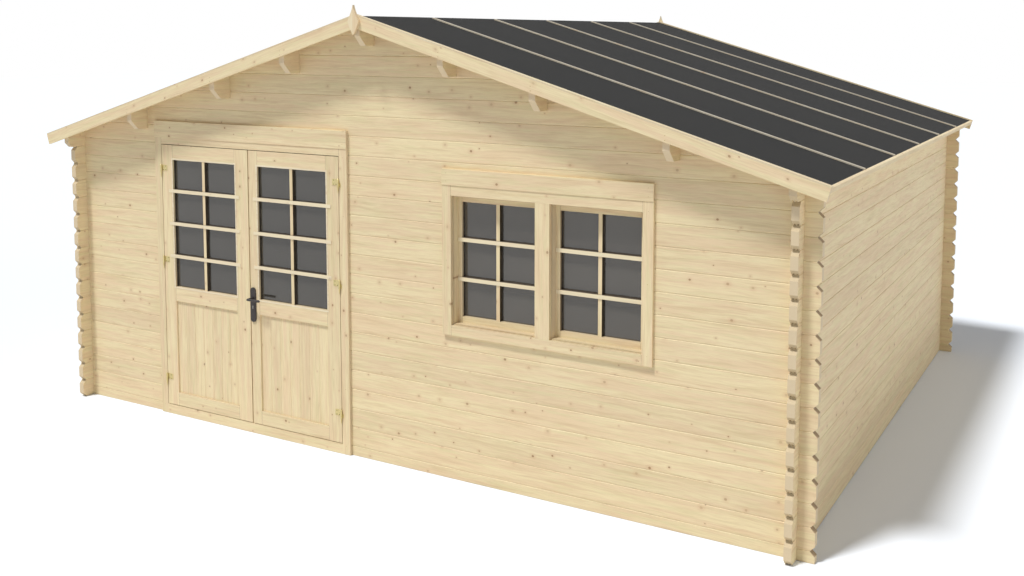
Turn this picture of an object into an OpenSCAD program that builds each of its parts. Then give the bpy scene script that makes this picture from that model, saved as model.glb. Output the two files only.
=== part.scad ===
/* [Walls] */
// Width of the cabin between the outer faces of its side walls
wall_w = 5750; // [5200:10:6600]
// Depth of the cabin between the outer faces of its front and back walls
wall_d = 4750; // [3800:10:6000]
// Thickness of a wall log
log_t = 44; // [40:1:56]
// Height that one log covers
log_h = 134; // [130:1:140]
// Courses of the side walls that rise above the casing of the doorway
courses_over_door = 0; // [0:1:3]
// Length that a log runs on past the wall it crosses
log_end = 100; // [70:5:140]
// Chamfer on the upper and lower corner of a log end
end_chamfer = 29; // [10:1:32]
// Bevel along the four long edges of a log
log_bevel = 4; // [3:0.5:9]
// Width of each of the two tongues on top of a log
tongue_w = 8; // [6:0.5:9]
// Height of the tongues
tongue_h = 8; // [5:0.5:12]

/* [Roof] */
// Slope of the roof in degrees
roof_slope = 16.5; // [14:0.5:22]
// Overhang of the roof before the front and back walls, bargeboards included
gable_overhang = 177; // [150:1:260]
// How far the underside of the roof boards reaches out past the side walls
eave_overhang = 174; // [120:1:380]
// Thickness of the roof boards
board_t = 19; // [16:1:28]
// Thickness of the roofing felt
felt_t = 3; // [2:0.5:6]
// Number of battens that hold the felt on each slope
batten_count = 5; // [2:1:8]
// Width of a felt batten
batten_w = 26; // [20:1:45]
// Thickness of a felt batten
batten_t = 8; // [5:1:20]

/* [Purlins] */
// Thickness of a purlin
purlin_t = 44; // [40:1:70]
// Height of a purlin at its middle
purlin_h = 170; // [140:5:190]
// Distances of the side purlins from the middle of the cabin, as shares of half its width
purlin_share = [0.2226, 0.4487, 0.7443];
// Chamfer on the lower end corners of the purlins
purlin_chamfer = 65; // [20:5:90]
// Chamfer on the lower end corners of the wall plates
plate_chamfer = 34; // [15:1:50]

/* [Bargeboards] */
// Thickness of a bargeboard
barge_t = 20; // [16:1:30]
// Height of a bargeboard without its cover strip
barge_h = 77; // [76:1:120]
// How far a bargeboard hangs below the underside of the roof boards
barge_drop = 54; // [30:1:54]
// Thickness of the cover strip on a bargeboard
strip_t = 9; // [6:1:16]
// Width of the cover strip that lies on the felt
strip_lap = 16; // [12:1:45]
// Thickness of the eave trim
eave_t = 20; // [12:1:30]
// Height of the eave trim
eave_h = 30; // [26:1:60]

/* [Finials] */
// Height of a finial
finial_h = 194; // [120:2:260]
// Width of a finial at its widest
finial_w = 86; // [50:2:110]
// Thickness of a finial
finial_t = 20; // [14:1:28]

/* [Doorway] */
// Middle of the doorway, measured from the middle of the front wall
door_x = -1118; // [-1300:1:-1000]
// Clear width between the door jambs
door_clear_w = 1688; // [1500:1:1800]
// Height of a door leaf
leaf_h = 1990; // [1850:5:2200]
// Thickness of a door leaf
leaf_t = 44; // [38:1:50]
// Gap between a leaf and the frame around it
leaf_gap = 5; // [5:0.5:8]
// Gap between the two leaves
meet_gap = 9; // [9:0.5:14]
// Distance of the meeting line from the middle of the doorway
meet_offset = 21; // [0:1:40]
// Height of the threshold
threshold_h = 70; // [50:1:90]
// Thickness of the door jambs and the head
jamb_t = 36; // [30:1:50]
// Depth of the door frame behind the outer face of the wall
jamb_depth = 64; // [60:1:90]
// How far the stops reach in behind the leaves
stop_w = 18; // [12:1:22]

/* [Door leaves] */
// Width of the hinge stiles and the top rails
stile_w = 110; // [90:1:130]
// Width of the right leaf's meeting stile; the wider left leaf's stile takes up the difference
meet_stile_w = 82.5; // [76:0.5:110]
// Height of the rail between the glass and the panel
lock_rail_h = 110; // [90:1:140]
// Height of the lock rail's upper edge above the foot of a leaf
lock_rail_top = 919; // [850:1:1000]
// Height of the bottom rail
bottom_rail_h = 100; // [80:1:140]
// Thickness of a leaf's boarded panel
panel_t = 20; // [16:1:26]
// Depth of the panels behind the face of a leaf
panel_set = 12; // [8:1:16]
// Depth of the glass behind the face of a leaf
glass_set = 22; // [14:1:34]
// Number of boards in a panel
panel_boards = 7; // [5:1:9]
// Width of a glazing bar
bar_w = 25; // [18:1:32]
// Thickness of a glazing bar
bar_t = 9; // [6:1:11]
// How far the cross bars lap onto the stiles
bar_lap = 42; // [20:1:60]
// How far the cross bars stand proud of the stiles
bar_proud = 4; // [2:0.5:6]
// Depth of the upright bars behind the face of the stiles
bar_set = 2; // [0:0.5:4]
// Thickness of the glass
glass_t = 4; // [3:0.5:6]

/* [Hinges] */
// Heights of the three hinges above the foot of a leaf, as shares of its height
hinge_share = [0.1045, 0.5603, 0.9095];
// Radius of a hinge knuckle
knuckle_r = 7; // [6:0.5:8]
// Height of one knuckle
knuckle_h = 27; // [20:1:35]
// Radius of the hinge pin
pin_r = 4; // [3:0.5:4.5]
// Length of the pointed end below the knuckles
pin_tail = 40; // [20:1:60]
// Width of the plate on the leaf
hinge_plate_w = 55; // [40:1:70]
// Height of the plate on the leaf
hinge_plate_h = 42; // [32:1:54]
// Thickness of the hinge plates
hinge_plate_t = 2.5; // [2:0.25:3]

/* [Handle] */
// Distance of the handle's middle line from the meeting edge of the right leaf
handle_inset = 26; // [26:1:40]
// Height of the lever's axis above the upper edge of the lock rail
lever_over_rail = 6; // [0:1:60]
// Width of a handle plate
handle_plate_w = 48; // [30:1:48]
// Length of a handle plate
handle_plate_h = 252; // [200:2:280]
// Thickness of a handle plate
handle_plate_t = 8; // [5:0.5:12]
// Height of the lever's axis above the middle of its plate
lever_up = 48; // [20:1:80]
// Distance of the grip's middle line from the face of the leaf
lever_reach = 62; // [45:1:75]
// Length of the grip from the lever's axis
grip_len = 112; // [90:1:130]
// Radius of the grip
grip_r = 9; // [7:0.5:11]

/* [Window] */
// Middle of the window, measured from the middle of the front wall
win_x = 1286; // [1200:1:1500]
// Courses from the log that carries the window up to the top of the side walls
win_courses = 9; // [9:1:11]
// Clear width between the window's jambs
win_clear_w = 1309; // [1000:1:1400]
// Clear height between the window's sill and head
win_clear_h = 827; // [600:1:830]
// Thickness of the window's lining
lining_t = 28; // [24:1:50]
// Width of the post between the two sashes
mullion_w = 114; // [70:1:130]
// How far the lining and the post stand out past the edges of the boards on them
win_lip = 7; // [3:1:15]
// How far the lining runs on into the room behind the sashes
lining_back = 3; // [1:1:20]
// Width of the sash stiles
sash_stile_w = 30; // [25:1:65]
// Height of the sash rails
sash_rail_h = 39; // [25:1:60]
// Thickness of a sash
sash_t = 40; // [34:1:42]
// Depth of the sashes behind the outer face of the wall
sash_set = 55; // [12:1:60]
// Depth of the glass behind the face of a sash
sash_glass_set = 26; // [14:1:30]
// How far the cross bars stop short of the sides of a sash
sash_bar_gap = 2; // [1:0.5:10]

/* [Casings] */
// Thickness of the casing boards round the doorway and the window
casing_t = 20; // [16:1:20]
// Width of the casing boards beside the doorway and the window
casing_w = 66; // [55:1:80]
// Height of the casing board over the doorway
door_casing_h = 50; // [42:1:80]
// Height of the casing boards over and under the window
win_casing_h = 66; // [55:1:80]
// Height of the lintel board over the doorway
door_lintel_h = 122; // [80:1:150]
// Height of the lintel board over the window
win_lintel_h = 103; // [60:1:130]
// Thickness of the lintel boards
lintel_t = 24; // [20:1:34]

/* [Hidden] */
// Gap at which fixed pieces seat on each other
fit = 0.3;
// Half the cabin's width, half its depth and the axes of the walls
half_w = wall_w / 2;
half_d = wall_d / 2;
side_axis = half_w - log_t / 2;
end_axis = half_d - log_t / 2;
// The doorway's height sets the number of courses in the side walls
leaf_z = threshold_h + leaf_gap;
door_head_z = leaf_z + leaf_h + leaf_gap;
door_open_z = door_head_z + jamb_t;
door_open_w = door_clear_w + 2 * jamb_t;
courses = ceil((door_head_z + door_casing_h) / log_h) + courses_over_door;
wall_top = courses * log_h;
// The roof boards' underside meets the inner faces of the side walls at the top of their last course
rise = tan(roof_slope);
ridge_z = wall_top + rise * (half_w - log_t);
slope_len = (half_w + eave_overhang) / cos(roof_slope);
cover_len = slope_len - eave_t - fit;
roof_end = half_d + gable_overhang;
timber_end = roof_end - barge_t - fit;
purlin_x = [for (s = purlin_share) s * half_w];
// Levels above the boards' underside, square to the slope
felt_n = board_t + fit;
felt_top_n = felt_n + felt_t;
batten_n = felt_top_n + fit;
barge_top_n = barge_h - barge_drop;
strip_top_n = barge_top_n + fit + strip_t;
// First course of the end walls that passes over the doorway, and their last under the roof
head_course = ceil(door_open_z / log_h - 1.5);
top_course = ceil(ridge_z / log_h - 0.5) - 1;
// Door leaves
leaf_y = -half_d - casing_t;
meet_x = door_x + meet_offset;
left_leaf_w = meet_x - meet_gap / 2 - (door_x - door_clear_w / 2 + leaf_gap);
right_leaf_w = door_x + door_clear_w / 2 - leaf_gap - (meet_x + meet_gap / 2);
pane_w = right_leaf_w - stile_w - meet_stile_w;
pane_h = leaf_h - lock_rail_top - stile_w;
panel_h = lock_rail_top - lock_rail_h - bottom_rail_h;
glass_z = leaf_z + lock_rail_top;
panel_z = leaf_z + bottom_rail_h;
// Hinges
hinge_z = [for (s = hinge_share) leaf_z + s * leaf_h];
hinge_y = leaf_y - knuckle_r - 1.5;
pin_fit = 0.4;
knuckle_fit = 0.5;
// Handle
plate_bore_r = grip_r + 1;
leaf_bore_r = 14;
spindle_r = 6;
handle_x = meet_x + meet_gap / 2 + handle_inset;
lever_z = glass_z + lever_over_rail;
// Window
win_z = (courses - win_courses + 0.5) * log_h + lining_t;
win_open_w = win_clear_w + 2 * lining_t;
sash_w = (win_clear_w - mullion_w) / 2 - 2 * fit;
sash_h = win_clear_h - 2 * fit;
// Colours
wood = [0.87, 0.79, 0.63];
wood_light = [0.91, 0.84, 0.70];
wood_deep = [0.82, 0.73, 0.56];
felt_grey = [0.27, 0.27, 0.27];
pane_grey = [0.40, 0.40, 0.38, 0.85];
brass = [0.78, 0.66, 0.36];
dark_metal = [0.24, 0.23, 0.23];
$fn = 48;

// Section of a log: bevelled edges, two tongues on top and two grooves below
module log_section(h, grooved = true) {
    r = log_t / 2;
    mid = (r - log_bevel) / 2;
    tw = tongue_w / 2;
    gw = tw + fit;
    gd = tongue_h + 2 * fit;
    taper = 0.8;
    top = h - fit;
    groove = function(c) grooved
        ? [[c - gw - taper, 0], [c - gw, gd], [c + gw, gd], [c + gw + taper, 0]] : [];
    tongue = function(c) [
        [c + tw + taper, top], [c + tw, top + tongue_h],
        [c - tw, top + tongue_h], [c - tw - taper, top]
    ];
    foot = grooved ? [[-r, log_bevel], [-r + log_bevel, 0]] : [[-r, 0]];
    heel = grooved ? [[r - log_bevel, 0], [r, log_bevel]] : [[r, 0]];
    polygon(concat(
        foot, groove(-mid), groove(mid), heel,
        [[r, top - log_bevel], [r - log_bevel, top]],
        tongue(mid), tongue(-mid),
        [[-r + log_bevel, top], [-r, top - log_bevel]]
    ));
}

// Side view of a log from x0 to x1, with its end corners cut off at 45 degrees
module log_side(x0, x1, h, low0, low1) {
    c = end_chamfer;
    up = tongue_h;
    polygon([
        [x0 + low0, 0], [x1 - low1, 0], [x1, low1],
        [x1, h - c], [x1 - c - up, h + up],
        [x0 + c + up, h + up], [x0, h - c], [x0, low0]
    ]);
}

// One log along X, from x0 to x1 with its underside at z = 0, notched where it crosses walls
module wall_log(x0, x1, crossings, h = log_h, grooved = true, low0 = end_chamfer, low1 = end_chamfer) {
    lap = log_h / 4 + fit / 2;
    difference() {
        intersection() {
            translate([x0, 0, 0]) rotate([90, 0, 90]) linear_extrude(x1 - x0) log_section(h, grooved);
            translate([0, log_t, 0]) rotate([90, 0, 0]) linear_extrude(2 * log_t)
                log_side(x0, x1, h, low0, low1);
        }
        for (x = crossings) {
            notch(x, h - lap, lap + 2 * tongue_h);
            if (grooved) notch(x, -1, lap + 1);
        }
    }
}

// Half-lap notch across a log, as wide as the log that it takes
module notch(x, z, depth) {
    translate([x - log_t / 2 - fit, -log_t, z]) cube([log_t + 2 * fit, 2 * log_t, depth]);
}

// One course of an end wall; course -1 is the half log on the ground
module end_course(n) {
    reach = half_w + log_end;
    if (n < 0)
        wall_log(-reach, reach, [-side_axis, side_axis], h = log_h / 2, grooved = false, low0 = 0.5, low1 = 0.5);
    else translate([0, 0, (n + 0.5) * log_h])
        wall_log(-reach, reach, [-side_axis, side_axis]);
}

// Everything above the underside of the roof boards
module above_roof() {
    far = half_w + 2 * log_end;
    high = ridge_z + log_h;
    translate([0, 2 * half_d, 0]) rotate([90, 0, 0]) linear_extrude(4 * half_d) polygon([
        [0, ridge_z - fit], [far, ridge_z - fit - rise * far], [far, high],
        [-far, high], [-far, ridge_z - fit - rise * far]
    ]);
}

// Slots in a gable for the purlins that pass through it
module purlin_slots() {
    for (x = concat([0], purlin_x, -purlin_x))
        translate([x - purlin_t / 2 - fit, -half_d, purlin_bottom(x) - fit])
            cube([purlin_t + 2 * fit, 2 * half_d, 2 * purlin_h]);
}

function purlin_bottom(x) = ridge_z - rise * abs(x) - purlin_h;

// Courses of a wall at its axis, trimmed under the roof and round the purlins
module end_wall(axis, from, to) {
    difference() {
        translate([0, axis, 0]) for (n = [from : to]) end_course(n);
        above_roof();
        purlin_slots();
    }
}

module front_openings() {
    translate([door_x - door_open_w / 2 - fit, -half_d - log_t, -1])
        cube([door_open_w + 2 * fit, 3 * log_t, door_open_z + fit + 1]);
    translate([win_x - win_open_w / 2 - fit, -half_d - log_t, win_z - lining_t - fit])
        cube([win_open_w + 2 * fit, 3 * log_t, win_clear_h + 2 * lining_t + 2 * fit]);
}

module front_wall_left() {
    color(wood) intersection() {
        difference() { end_wall(-end_axis, -1, head_course - 1); front_openings(); }
        translate([door_x - 2 * half_w, -2 * half_d, -1]) cube([2 * half_w, 2 * half_d, 2 * wall_top]);
    }
}

module front_wall_right() {
    color(wood) intersection() {
        difference() { end_wall(-end_axis, -1, head_course - 1); front_openings(); }
        translate([door_x, -2 * half_d, -1]) cube([3 * half_w, 2 * half_d, 2 * wall_top]);
    }
}

module front_gable() {
    color(wood) difference() { end_wall(-end_axis, head_course, top_course); front_openings(); }
}

module back_wall() { color(wood) end_wall(end_axis, -1, head_course - 1); }

module back_gable() { color(wood) end_wall(end_axis, head_course, top_course); }

// One log of a side wall, along Y at x = 0
module side_log(reach, low) {
    rotate([0, 0, 90]) wall_log(-reach, reach, [-end_axis, end_axis], low0 = low, low1 = low);
}

module side_wall(x) {
    color(wood) for (n = [0 : courses - 2])
        translate([x, 0, n * log_h]) side_log(half_d + log_end, end_chamfer);
}

module left_wall() { side_wall(-side_axis); }

module right_wall() { side_wall(side_axis); }

// The last course of a side wall: its ends carry the overhang, and the roof bevels its top
module wall_plate(x) {
    color(wood) difference() {
        translate([x, 0, (courses - 1) * log_h]) side_log(timber_end, plate_chamfer);
        above_roof();
    }
}

module left_wall_plate() { wall_plate(-side_axis); }

module right_wall_plate() { wall_plate(side_axis); }

// A purlin from bargeboard to bargeboard, with its lower end corners cut off
module purlin(x) {
    c = purlin_chamfer;
    h = purlin_h + log_t;
    color(wood) difference() {
        translate([x - purlin_t / 2, 0, purlin_bottom(x)]) rotate([90, 0, 90]) linear_extrude(purlin_t) polygon([
            [-timber_end + c, 0], [timber_end - c, 0], [timber_end, c],
            [timber_end, h], [-timber_end, h], [-timber_end, c]
        ]);
        above_roof();
    }
}

module ridge_purlin() { purlin(0); }

module left_purlins() { for (x = purlin_x) purlin(-x); }

module right_purlins() { for (x = purlin_x) purlin(x); }

// Children lie on the right slope: x runs down from the ridge, z is square to the boards
module on_slope(side) {
    big = 2 * slope_len;
    intersection() {
        mirror([side < 0 ? 1 : 0, 0, 0]) translate([0, 0, ridge_z]) rotate([0, roof_slope, 0]) children();
        translate([side < 0 ? -big - fit / 2 : fit / 2, -big, 0]) cube([big, 2 * big, ridge_z + big]);
    }
}

// Slab on a slope between two distances down it, two places along the ridge and two levels
module slope_slab(side, s0, s1, y0, y1, n0, n1) {
    on_slope(side) translate([s0, y0, n0]) cube([s1 - s0, y1 - y0, n1 - n0]);
}

module roof_boards(side) {
    color(wood_light)
        slope_slab(side, -log_h, cover_len, -timber_end, timber_end, 0, board_t);
}

module left_roof_boards() { roof_boards(-1); }

module right_roof_boards() { roof_boards(1); }

module roof_felt(side) {
    color(felt_grey)
        slope_slab(side, -log_h, cover_len, -timber_end, timber_end, felt_n, felt_top_n);
}

module left_roof_felt() { roof_felt(-1); }

module right_roof_felt() { roof_felt(1); }

module roof_battens() {
    step = 2 * roof_end / (batten_count + 1);
    color(wood_light) for (side = [-1, 1], i = [1 : batten_count])
        slope_slab(side, batten_w, cover_len,
            -roof_end + i * step - batten_w / 2, -roof_end + i * step + batten_w / 2,
            batten_n, batten_n + batten_t);
}

// Cover strip: it lies on the felt beside a bargeboard and laps over the board's top edge
module verge_strip(side, end) {
    lap = timber_end - strip_lap;
    color(wood_light) on_slope(side) translate([-log_h, 0, 0]) rotate([90, 0, 90])
        linear_extrude(slope_len + log_h) polygon([for (p = [
            [lap, batten_n], [timber_end, batten_n], [timber_end, barge_top_n + fit],
            [roof_end, barge_top_n + fit], [roof_end, strip_top_n], [lap, strip_top_n]
        ]) [end * p[0], p[1]]]);
}

module verge_strips() { for (side = [-1, 1], end = [-1, 1]) verge_strip(side, end); }

// Board across the ends of the roof boards and the felt, level with the top of the felt
module eave_trims() {
    color(wood_light) for (side = [-1, 1])
        slope_slab(side, slope_len - eave_t, slope_len, -timber_end, timber_end, felt_top_n - eave_h, felt_top_n);
}

module bargeboard(side, end) {
    y0 = end < 0 ? -roof_end : roof_end - barge_t;
    color(wood_light) slope_slab(side, -log_h, slope_len, y0, y0 + barge_t, -barge_drop, barge_top_n);
}

module front_barge_left() { bargeboard(-1, -1); }

module front_barge_right() { bargeboard(1, -1); }

module back_barge_left() { bargeboard(-1, 1); }

module back_barge_right() { bargeboard(1, 1); }

// Half outline of a finial: hollow shoulders rise to the tip, full cheeks run down to a sharp point
function finial_side() =
    let (w = finial_w / 2, up = finial_h * 0.52, down = finial_h * 0.48)
    concat(
        [for (t = [0 : 0.125 : 0.875]) [w * pow(t, 1.35), up * (1 - t)]],
        [for (t = [0 : 0.125 : 0.875]) [w * (1 - pow(t, 1.35)), -down * t]],
        [[0, -down]]
    );

module finial(end) {
    pts = finial_side();
    left = [for (i = [len(pts) - 2 : -1 : 1]) [-pts[i][0], pts[i][1]]];
    top_z = ridge_z + strip_top_n / cos(roof_slope) + finial_h * 0.30;
    y0 = end < 0 ? -roof_end - fit : roof_end + fit + finial_t;
    color(wood_light) translate([0, y0, top_z - finial_h * 0.52])
        rotate([90, 0, 0]) linear_extrude(finial_t) polygon(concat(pts, left));
}

module front_finial() { finial(-1); }

module back_finial() { finial(1); }

// Jamb section: the wide part behind the leaf is its stop
module door_jamb(side) {
    stop_y = leaf_t - casing_t + leaf_gap;
    x1 = door_open_w / 2;
    x0 = door_clear_w / 2;
    color(wood_light) translate([door_x, -half_d, threshold_h + fit])
        mirror([side < 0 ? 1 : 0, 0, 0])
        linear_extrude(door_head_z - threshold_h - 2 * fit) polygon([
            [x0, fit], [x1, fit], [x1, jamb_depth], [x0 - stop_w, jamb_depth], [x0 - stop_w, stop_y], [x0, stop_y]
        ]);
}

module door_jambs() { for (side = [-1, 1]) door_jamb(side); }

module door_head() {
    stop_y = leaf_t - casing_t + leaf_gap;
    color(wood_light) translate([door_x - door_open_w / 2, -half_d, 0])
        rotate([90, 0, 90]) linear_extrude(door_open_w) polygon([
            [fit, door_head_z], [fit, door_open_z], [jamb_depth, door_open_z],
            [jamb_depth, door_head_z]
        ]);
    color(wood_light) translate([door_x - door_clear_w / 2 + stop_w + fit, -half_d + stop_y, door_head_z - stop_w])
        cube([door_clear_w - 2 * stop_w - 2 * fit, jamb_depth - stop_y, stop_w - fit]);
}

module door_threshold() {
    color(wood_light) translate([door_x - door_open_w / 2, -half_d + fit, 0])
        cube([door_open_w, jamb_depth - fit, threshold_h]);
    color(wood_light) translate([door_x - door_clear_w / 2 + fit, -half_d - casing_t, 0])
        cube([door_clear_w - 2 * fit, casing_t, threshold_h - fit]);
}

// Board on the face of the front wall
module face_board(x0, x1, z0, z1, t) {
    translate([x0, -half_d - fit - t, z0]) cube([x1 - x0, t, z1 - z0]);
}

module door_casing() {
    x0 = door_clear_w / 2;
    top = door_head_z + door_casing_h;
    t = casing_t - fit;
    color(wood_light) {
        face_board(door_x - x0 - casing_w, door_x - x0, 0, top, t);
        face_board(door_x + x0, door_x + x0 + casing_w, 0, top, t);
        face_board(door_x - x0 + fit, door_x + x0 - fit, door_head_z, top, t);
    }
}

module door_lintel_board() {
    x0 = door_clear_w / 2 + casing_w;
    z0 = door_head_z + door_casing_h + fit;
    color(wood_light) face_board(door_x - x0, door_x + x0, z0, z0 + door_lintel_h, lintel_t);
}

// Lining boards round the window's opening, and the post between its sashes with the board on its face
module window_frame() {
    x0 = win_clear_w / 2;
    d = sash_set + sash_t + lining_back - fit;
    post_h = win_clear_h - 2 * fit;
    face_w = mullion_w - 2 * win_lip;
    color(wood_light) translate([win_x, -half_d + fit, win_z]) {
        for (side = [-1, 1]) translate([side < 0 ? -x0 - lining_t : x0, 0, fit])
            cube([lining_t, d, post_h]);
        for (z = [-lining_t, win_clear_h]) translate([-x0 - lining_t, 0, z])
            cube([win_open_w, d, lining_t]);
        translate([-mullion_w / 2, -fit, fit]) cube([mullion_w, d + fit, post_h]);
        translate([-face_w / 2, -casing_t, fit]) cube([face_w, casing_t + d, post_h]);
        translate([-face_w / 2, -casing_t, fit - win_lip]) cube([face_w, casing_t - fit, post_h + 2 * win_lip]);
    }
}

module window_casing() {
    x0 = win_clear_w / 2 + win_lip;
    t = casing_t - fit;
    z0 = win_z - win_lip;
    z1 = win_z + win_clear_h + win_lip;
    color(wood_light) {
        for (side = [-1, 1]) {
            xs = win_x + (side < 0 ? -x0 - casing_w : x0);
            face_board(xs, xs + casing_w, z0 - win_casing_h, z1 + win_casing_h, t);
        }
        face_board(win_x - x0 + fit, win_x + x0 - fit, z0 - win_casing_h, z0, t);
        face_board(win_x - x0 + fit, win_x + x0 - fit, z1, z1 + win_casing_h, t);
    }
}

module window_lintel_board() {
    x0 = win_clear_w / 2 + win_lip + casing_w;
    z0 = win_z + win_clear_h + win_lip + win_casing_h + fit;
    color(wood_light) face_board(win_x - x0, win_x + x0, z0, z0 + win_lintel_h, lintel_t);
}

// Glazing bars in front of an opening w wide and h high: one upright, and cross bars lapped over its sides
module glazing_bars(w, h, rows, lap) {
    pane = (h - (rows - 1) * bar_w) / rows;
    translate([(w - bar_w) / 2, bar_set, 0]) cube([bar_w, bar_t, h]);
    for (i = [1 : rows - 1])
        translate([-lap, -bar_proud, i * pane + (i - 1) * bar_w]) cube([w + 2 * lap, bar_t, bar_w]);
}

function sash_x(side) = win_x + side * (win_clear_w + mullion_w) / 4;

module window_sash(side) {
    glass_w = sash_w - 2 * sash_stile_w;
    glass_h = sash_h - 2 * sash_rail_h;
    color(wood_light) translate([sash_x(side) - sash_w / 2, -half_d + sash_set, win_z + fit]) {
        difference() {
            cube([sash_w, sash_t, sash_h]);
            translate([sash_stile_w, -1, sash_rail_h]) cube([glass_w, sash_t + 2, glass_h]);
        }
        translate([sash_stile_w, 0, sash_rail_h]) glazing_bars(glass_w, glass_h, 3, sash_stile_w - sash_bar_gap);
    }
}

module window_sashes() { for (side = [-1, 1]) window_sash(side); }

module window_glass() {
    glass_w = sash_w - 2 * sash_stile_w - 2 * fit;
    glass_h = sash_h - 2 * sash_rail_h - 2 * fit;
    color(pane_grey) for (side = [-1, 1])
        translate([sash_x(side) - glass_w / 2, -half_d + sash_set + sash_glass_set, win_z + 2 * fit + sash_rail_h])
            cube([glass_w, glass_t, glass_h]);
}

// Frame of a door leaf with its hinge edge at x = 0, reaching w towards +X, its face at y = 0
module leaf_frame(w) {
    difference() {
        cube([w, leaf_t, leaf_h]);
        translate([stile_w, -1, glass_z - leaf_z]) cube([pane_w, leaf_t + 2, pane_h]);
        translate([stile_w, -1, panel_z - leaf_z]) cube([pane_w, leaf_t + 2, panel_h]);
    }
    translate([stile_w, 0, glass_z - leaf_z]) glazing_bars(pane_w, pane_h, 4, bar_lap);
}

// Boarded panel in section: a V groove on both faces at each joint
module panel_section() {
    w = pane_w - 2 * fit;
    b = w / panel_boards;
    v = 4;
    front = [for (i = [1 : panel_boards - 1]) each [[i * b - v, 0], [i * b, v], [i * b + v, 0]]];
    back = [for (i = [panel_boards - 1 : -1 : 1]) each
        [[i * b + v, panel_t], [i * b, panel_t - v], [i * b - v, panel_t]]];
    polygon(concat([[0, 0]], front, [[w, 0], [w, panel_t]], back, [[0, panel_t]]));
}

module leaf_panel() {
    translate([stile_w + fit, panel_set, panel_z - leaf_z + fit])
        linear_extrude(panel_h - 2 * fit) panel_section();
}

module leaf_glass() {
    translate([stile_w + fit, glass_set, glass_z - leaf_z + fit])
        cube([pane_w - 2 * fit, glass_t, pane_h - 2 * fit]);
}

// Places a leaf's piece at the left jamb, or turned over at the right one
module at_leaf(side) {
    translate([door_x + side * (door_clear_w / 2 - leaf_gap), leaf_y, leaf_z])
        mirror([side > 0 ? 1 : 0, 0, 0]) children();
}

// Leaf half of the hinges: a plate on the leaf's face with the upper knuckle
module leaf_hinges(side) {
    plate_y = leaf_y - fit - hinge_plate_t;
    color(brass) for (z = hinge_z)
        translate([door_x + side * (door_clear_w / 2 - leaf_gap / 2), 0, z]) mirror([side > 0 ? 1 : 0, 0, 0])
            difference() {
                union() {
                    translate([0, hinge_y, knuckle_fit]) cylinder(h = knuckle_h - knuckle_fit, r = knuckle_r);
                    translate([0, plate_y, knuckle_fit]) cube([knuckle_r + 2, hinge_plate_t, knuckle_h - knuckle_fit]);
                    translate([knuckle_r, plate_y, knuckle_h - hinge_plate_h])
                        cube([hinge_plate_w - knuckle_r, hinge_plate_t, hinge_plate_h]);
                }
                translate([0, hinge_y, -1]) cylinder(h = knuckle_h + 2, r = pin_r + pin_fit);
            }
}

// Frame half of the hinges: lower knuckle, pin with its cap, pointed end and a plate on the casing
module hinge_pin(side, z) {
    cap_h = 5;
    tip_r = 1.5;
    plate_y = leaf_y - fit - hinge_plate_t;
    translate([door_x + side * (door_clear_w / 2 - leaf_gap / 2), 0, z]) mirror([side > 0 ? 1 : 0, 0, 0]) {
        translate([0, hinge_y, 0]) {
            translate([0, 0, -knuckle_h]) cylinder(h = knuckle_h, r = knuckle_r);
            cylinder(h = knuckle_h + knuckle_fit, r = pin_r);
            translate([0, 0, knuckle_h + knuckle_fit]) cylinder(h = cap_h, r1 = knuckle_r, r2 = pin_r);
            translate([0, 0, -knuckle_h - pin_tail]) cylinder(h = pin_tail, r1 = tip_r, r2 = knuckle_r - 1);
        }
        translate([-knuckle_r - 9, plate_y, -knuckle_h])
            cube([knuckle_r + 9, hinge_plate_t, knuckle_h - knuckle_fit]);
    }
}

module hinge_pins() { color(brass) for (side = [-1, 1], z = hinge_z) hinge_pin(side, z); }

module left_leaf() { color(wood_light) at_leaf(-1) leaf_frame(left_leaf_w); }

module left_leaf_panel() { color(wood_light) at_leaf(-1) leaf_panel(); }

module left_leaf_glass() { color(pane_grey) at_leaf(-1) leaf_glass(); }

module left_leaf_hinges() { leaf_hinges(-1); }

module right_leaf() {
    color(wood_light) difference() {
        at_leaf(1) leaf_frame(right_leaf_w);
        translate([handle_x, leaf_y - 1, lever_z]) rotate([-90, 0, 0]) cylinder(h = leaf_t + 2, r = leaf_bore_r);
    }
}

module right_leaf_panel() { color(wood_light) at_leaf(1) leaf_panel(); }

module right_leaf_glass() { color(pane_grey) at_leaf(1) leaf_glass(); }

module right_leaf_hinges() { leaf_hinges(1); }

// Handle plate with round ends and a bore for the lever's neck
module handle_plate(y) {
    r = handle_plate_w / 2;
    span = handle_plate_h - handle_plate_w;
    translate([handle_x, y, lever_z - lever_up]) difference() {
        union() {
            translate([-r, 0, -span / 2]) cube([handle_plate_w, handle_plate_t, span]);
            for (z = [-span / 2, span / 2]) translate([0, 0, z]) rotate([-90, 0, 0])
                cylinder(h = handle_plate_t, r = r);
        }
        translate([0, -1, lever_up]) rotate([-90, 0, 0]) cylinder(h = handle_plate_t + 2, r = plate_bore_r);
    }
}

module handle_plates() {
    color(dark_metal) {
        handle_plate(leaf_y - fit - handle_plate_t);
        handle_plate(leaf_y + leaf_t + fit);
    }
}

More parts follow.
